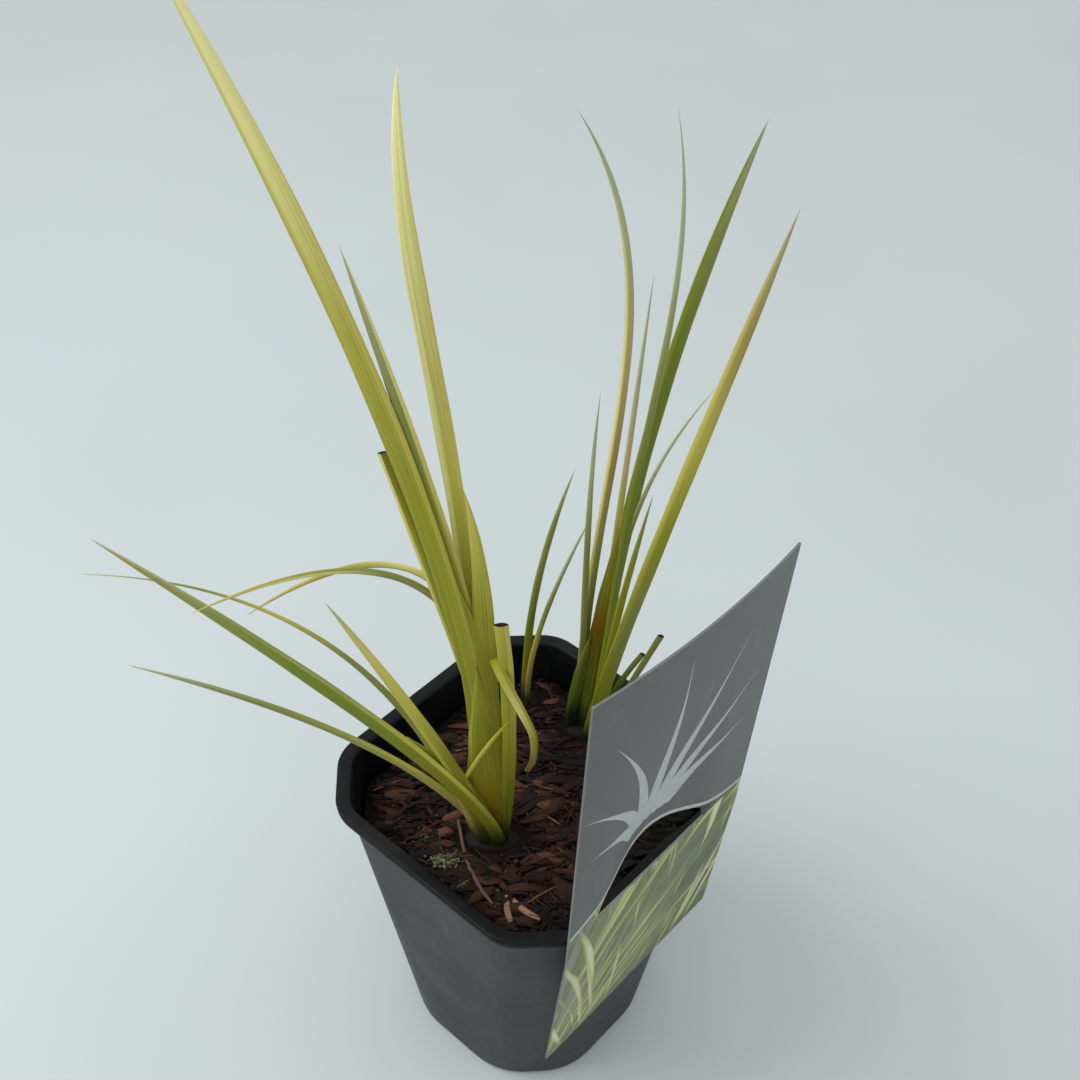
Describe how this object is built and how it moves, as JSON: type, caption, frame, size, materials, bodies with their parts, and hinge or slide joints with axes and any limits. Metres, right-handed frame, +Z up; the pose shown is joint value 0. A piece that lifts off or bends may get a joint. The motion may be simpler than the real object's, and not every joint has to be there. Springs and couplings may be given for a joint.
{
  "type": "potted japanese sweet flag",
  "caption": "Young grassy sweet flag with sword-shaped upright and arching leaves, in a square rounded nursery pot filled with bark, with a plain picture card hooked over the rim.",
  "frame": {"origin": "middle of the pot's flat underside", "axes": "+Z up; -Y towards the viewer of the picture; the pot's flat sides stand turned 48.9 degrees from the X and Y axes"},
  "size_m": [0.1708, 0.1149, 0.3239],
  "materials": {
    "pot_plastic": "thin moulded black plastic, slightly satin",
    "bark_soil": "moist shredded bark and peat",
    "leaf_front": "satin leaf, yellow-green with cream margins",
    "leaf_right": "satin leaf, green with tan and cream streaks",
    "leaf_back": "satin leaf, dull green",
    "card_plastic": "thin printed plastic sheet, grey with a picture of leaves"
  },
  "bodies": {
    "root": {"pot": "pot_plastic", "soil": "bark_soil", "front_clump": "leaf_front", "right_clump": "leaf_right", "back_shoot": "leaf_back", "label_card": "card_plastic"}
  },
  "joints": []
}
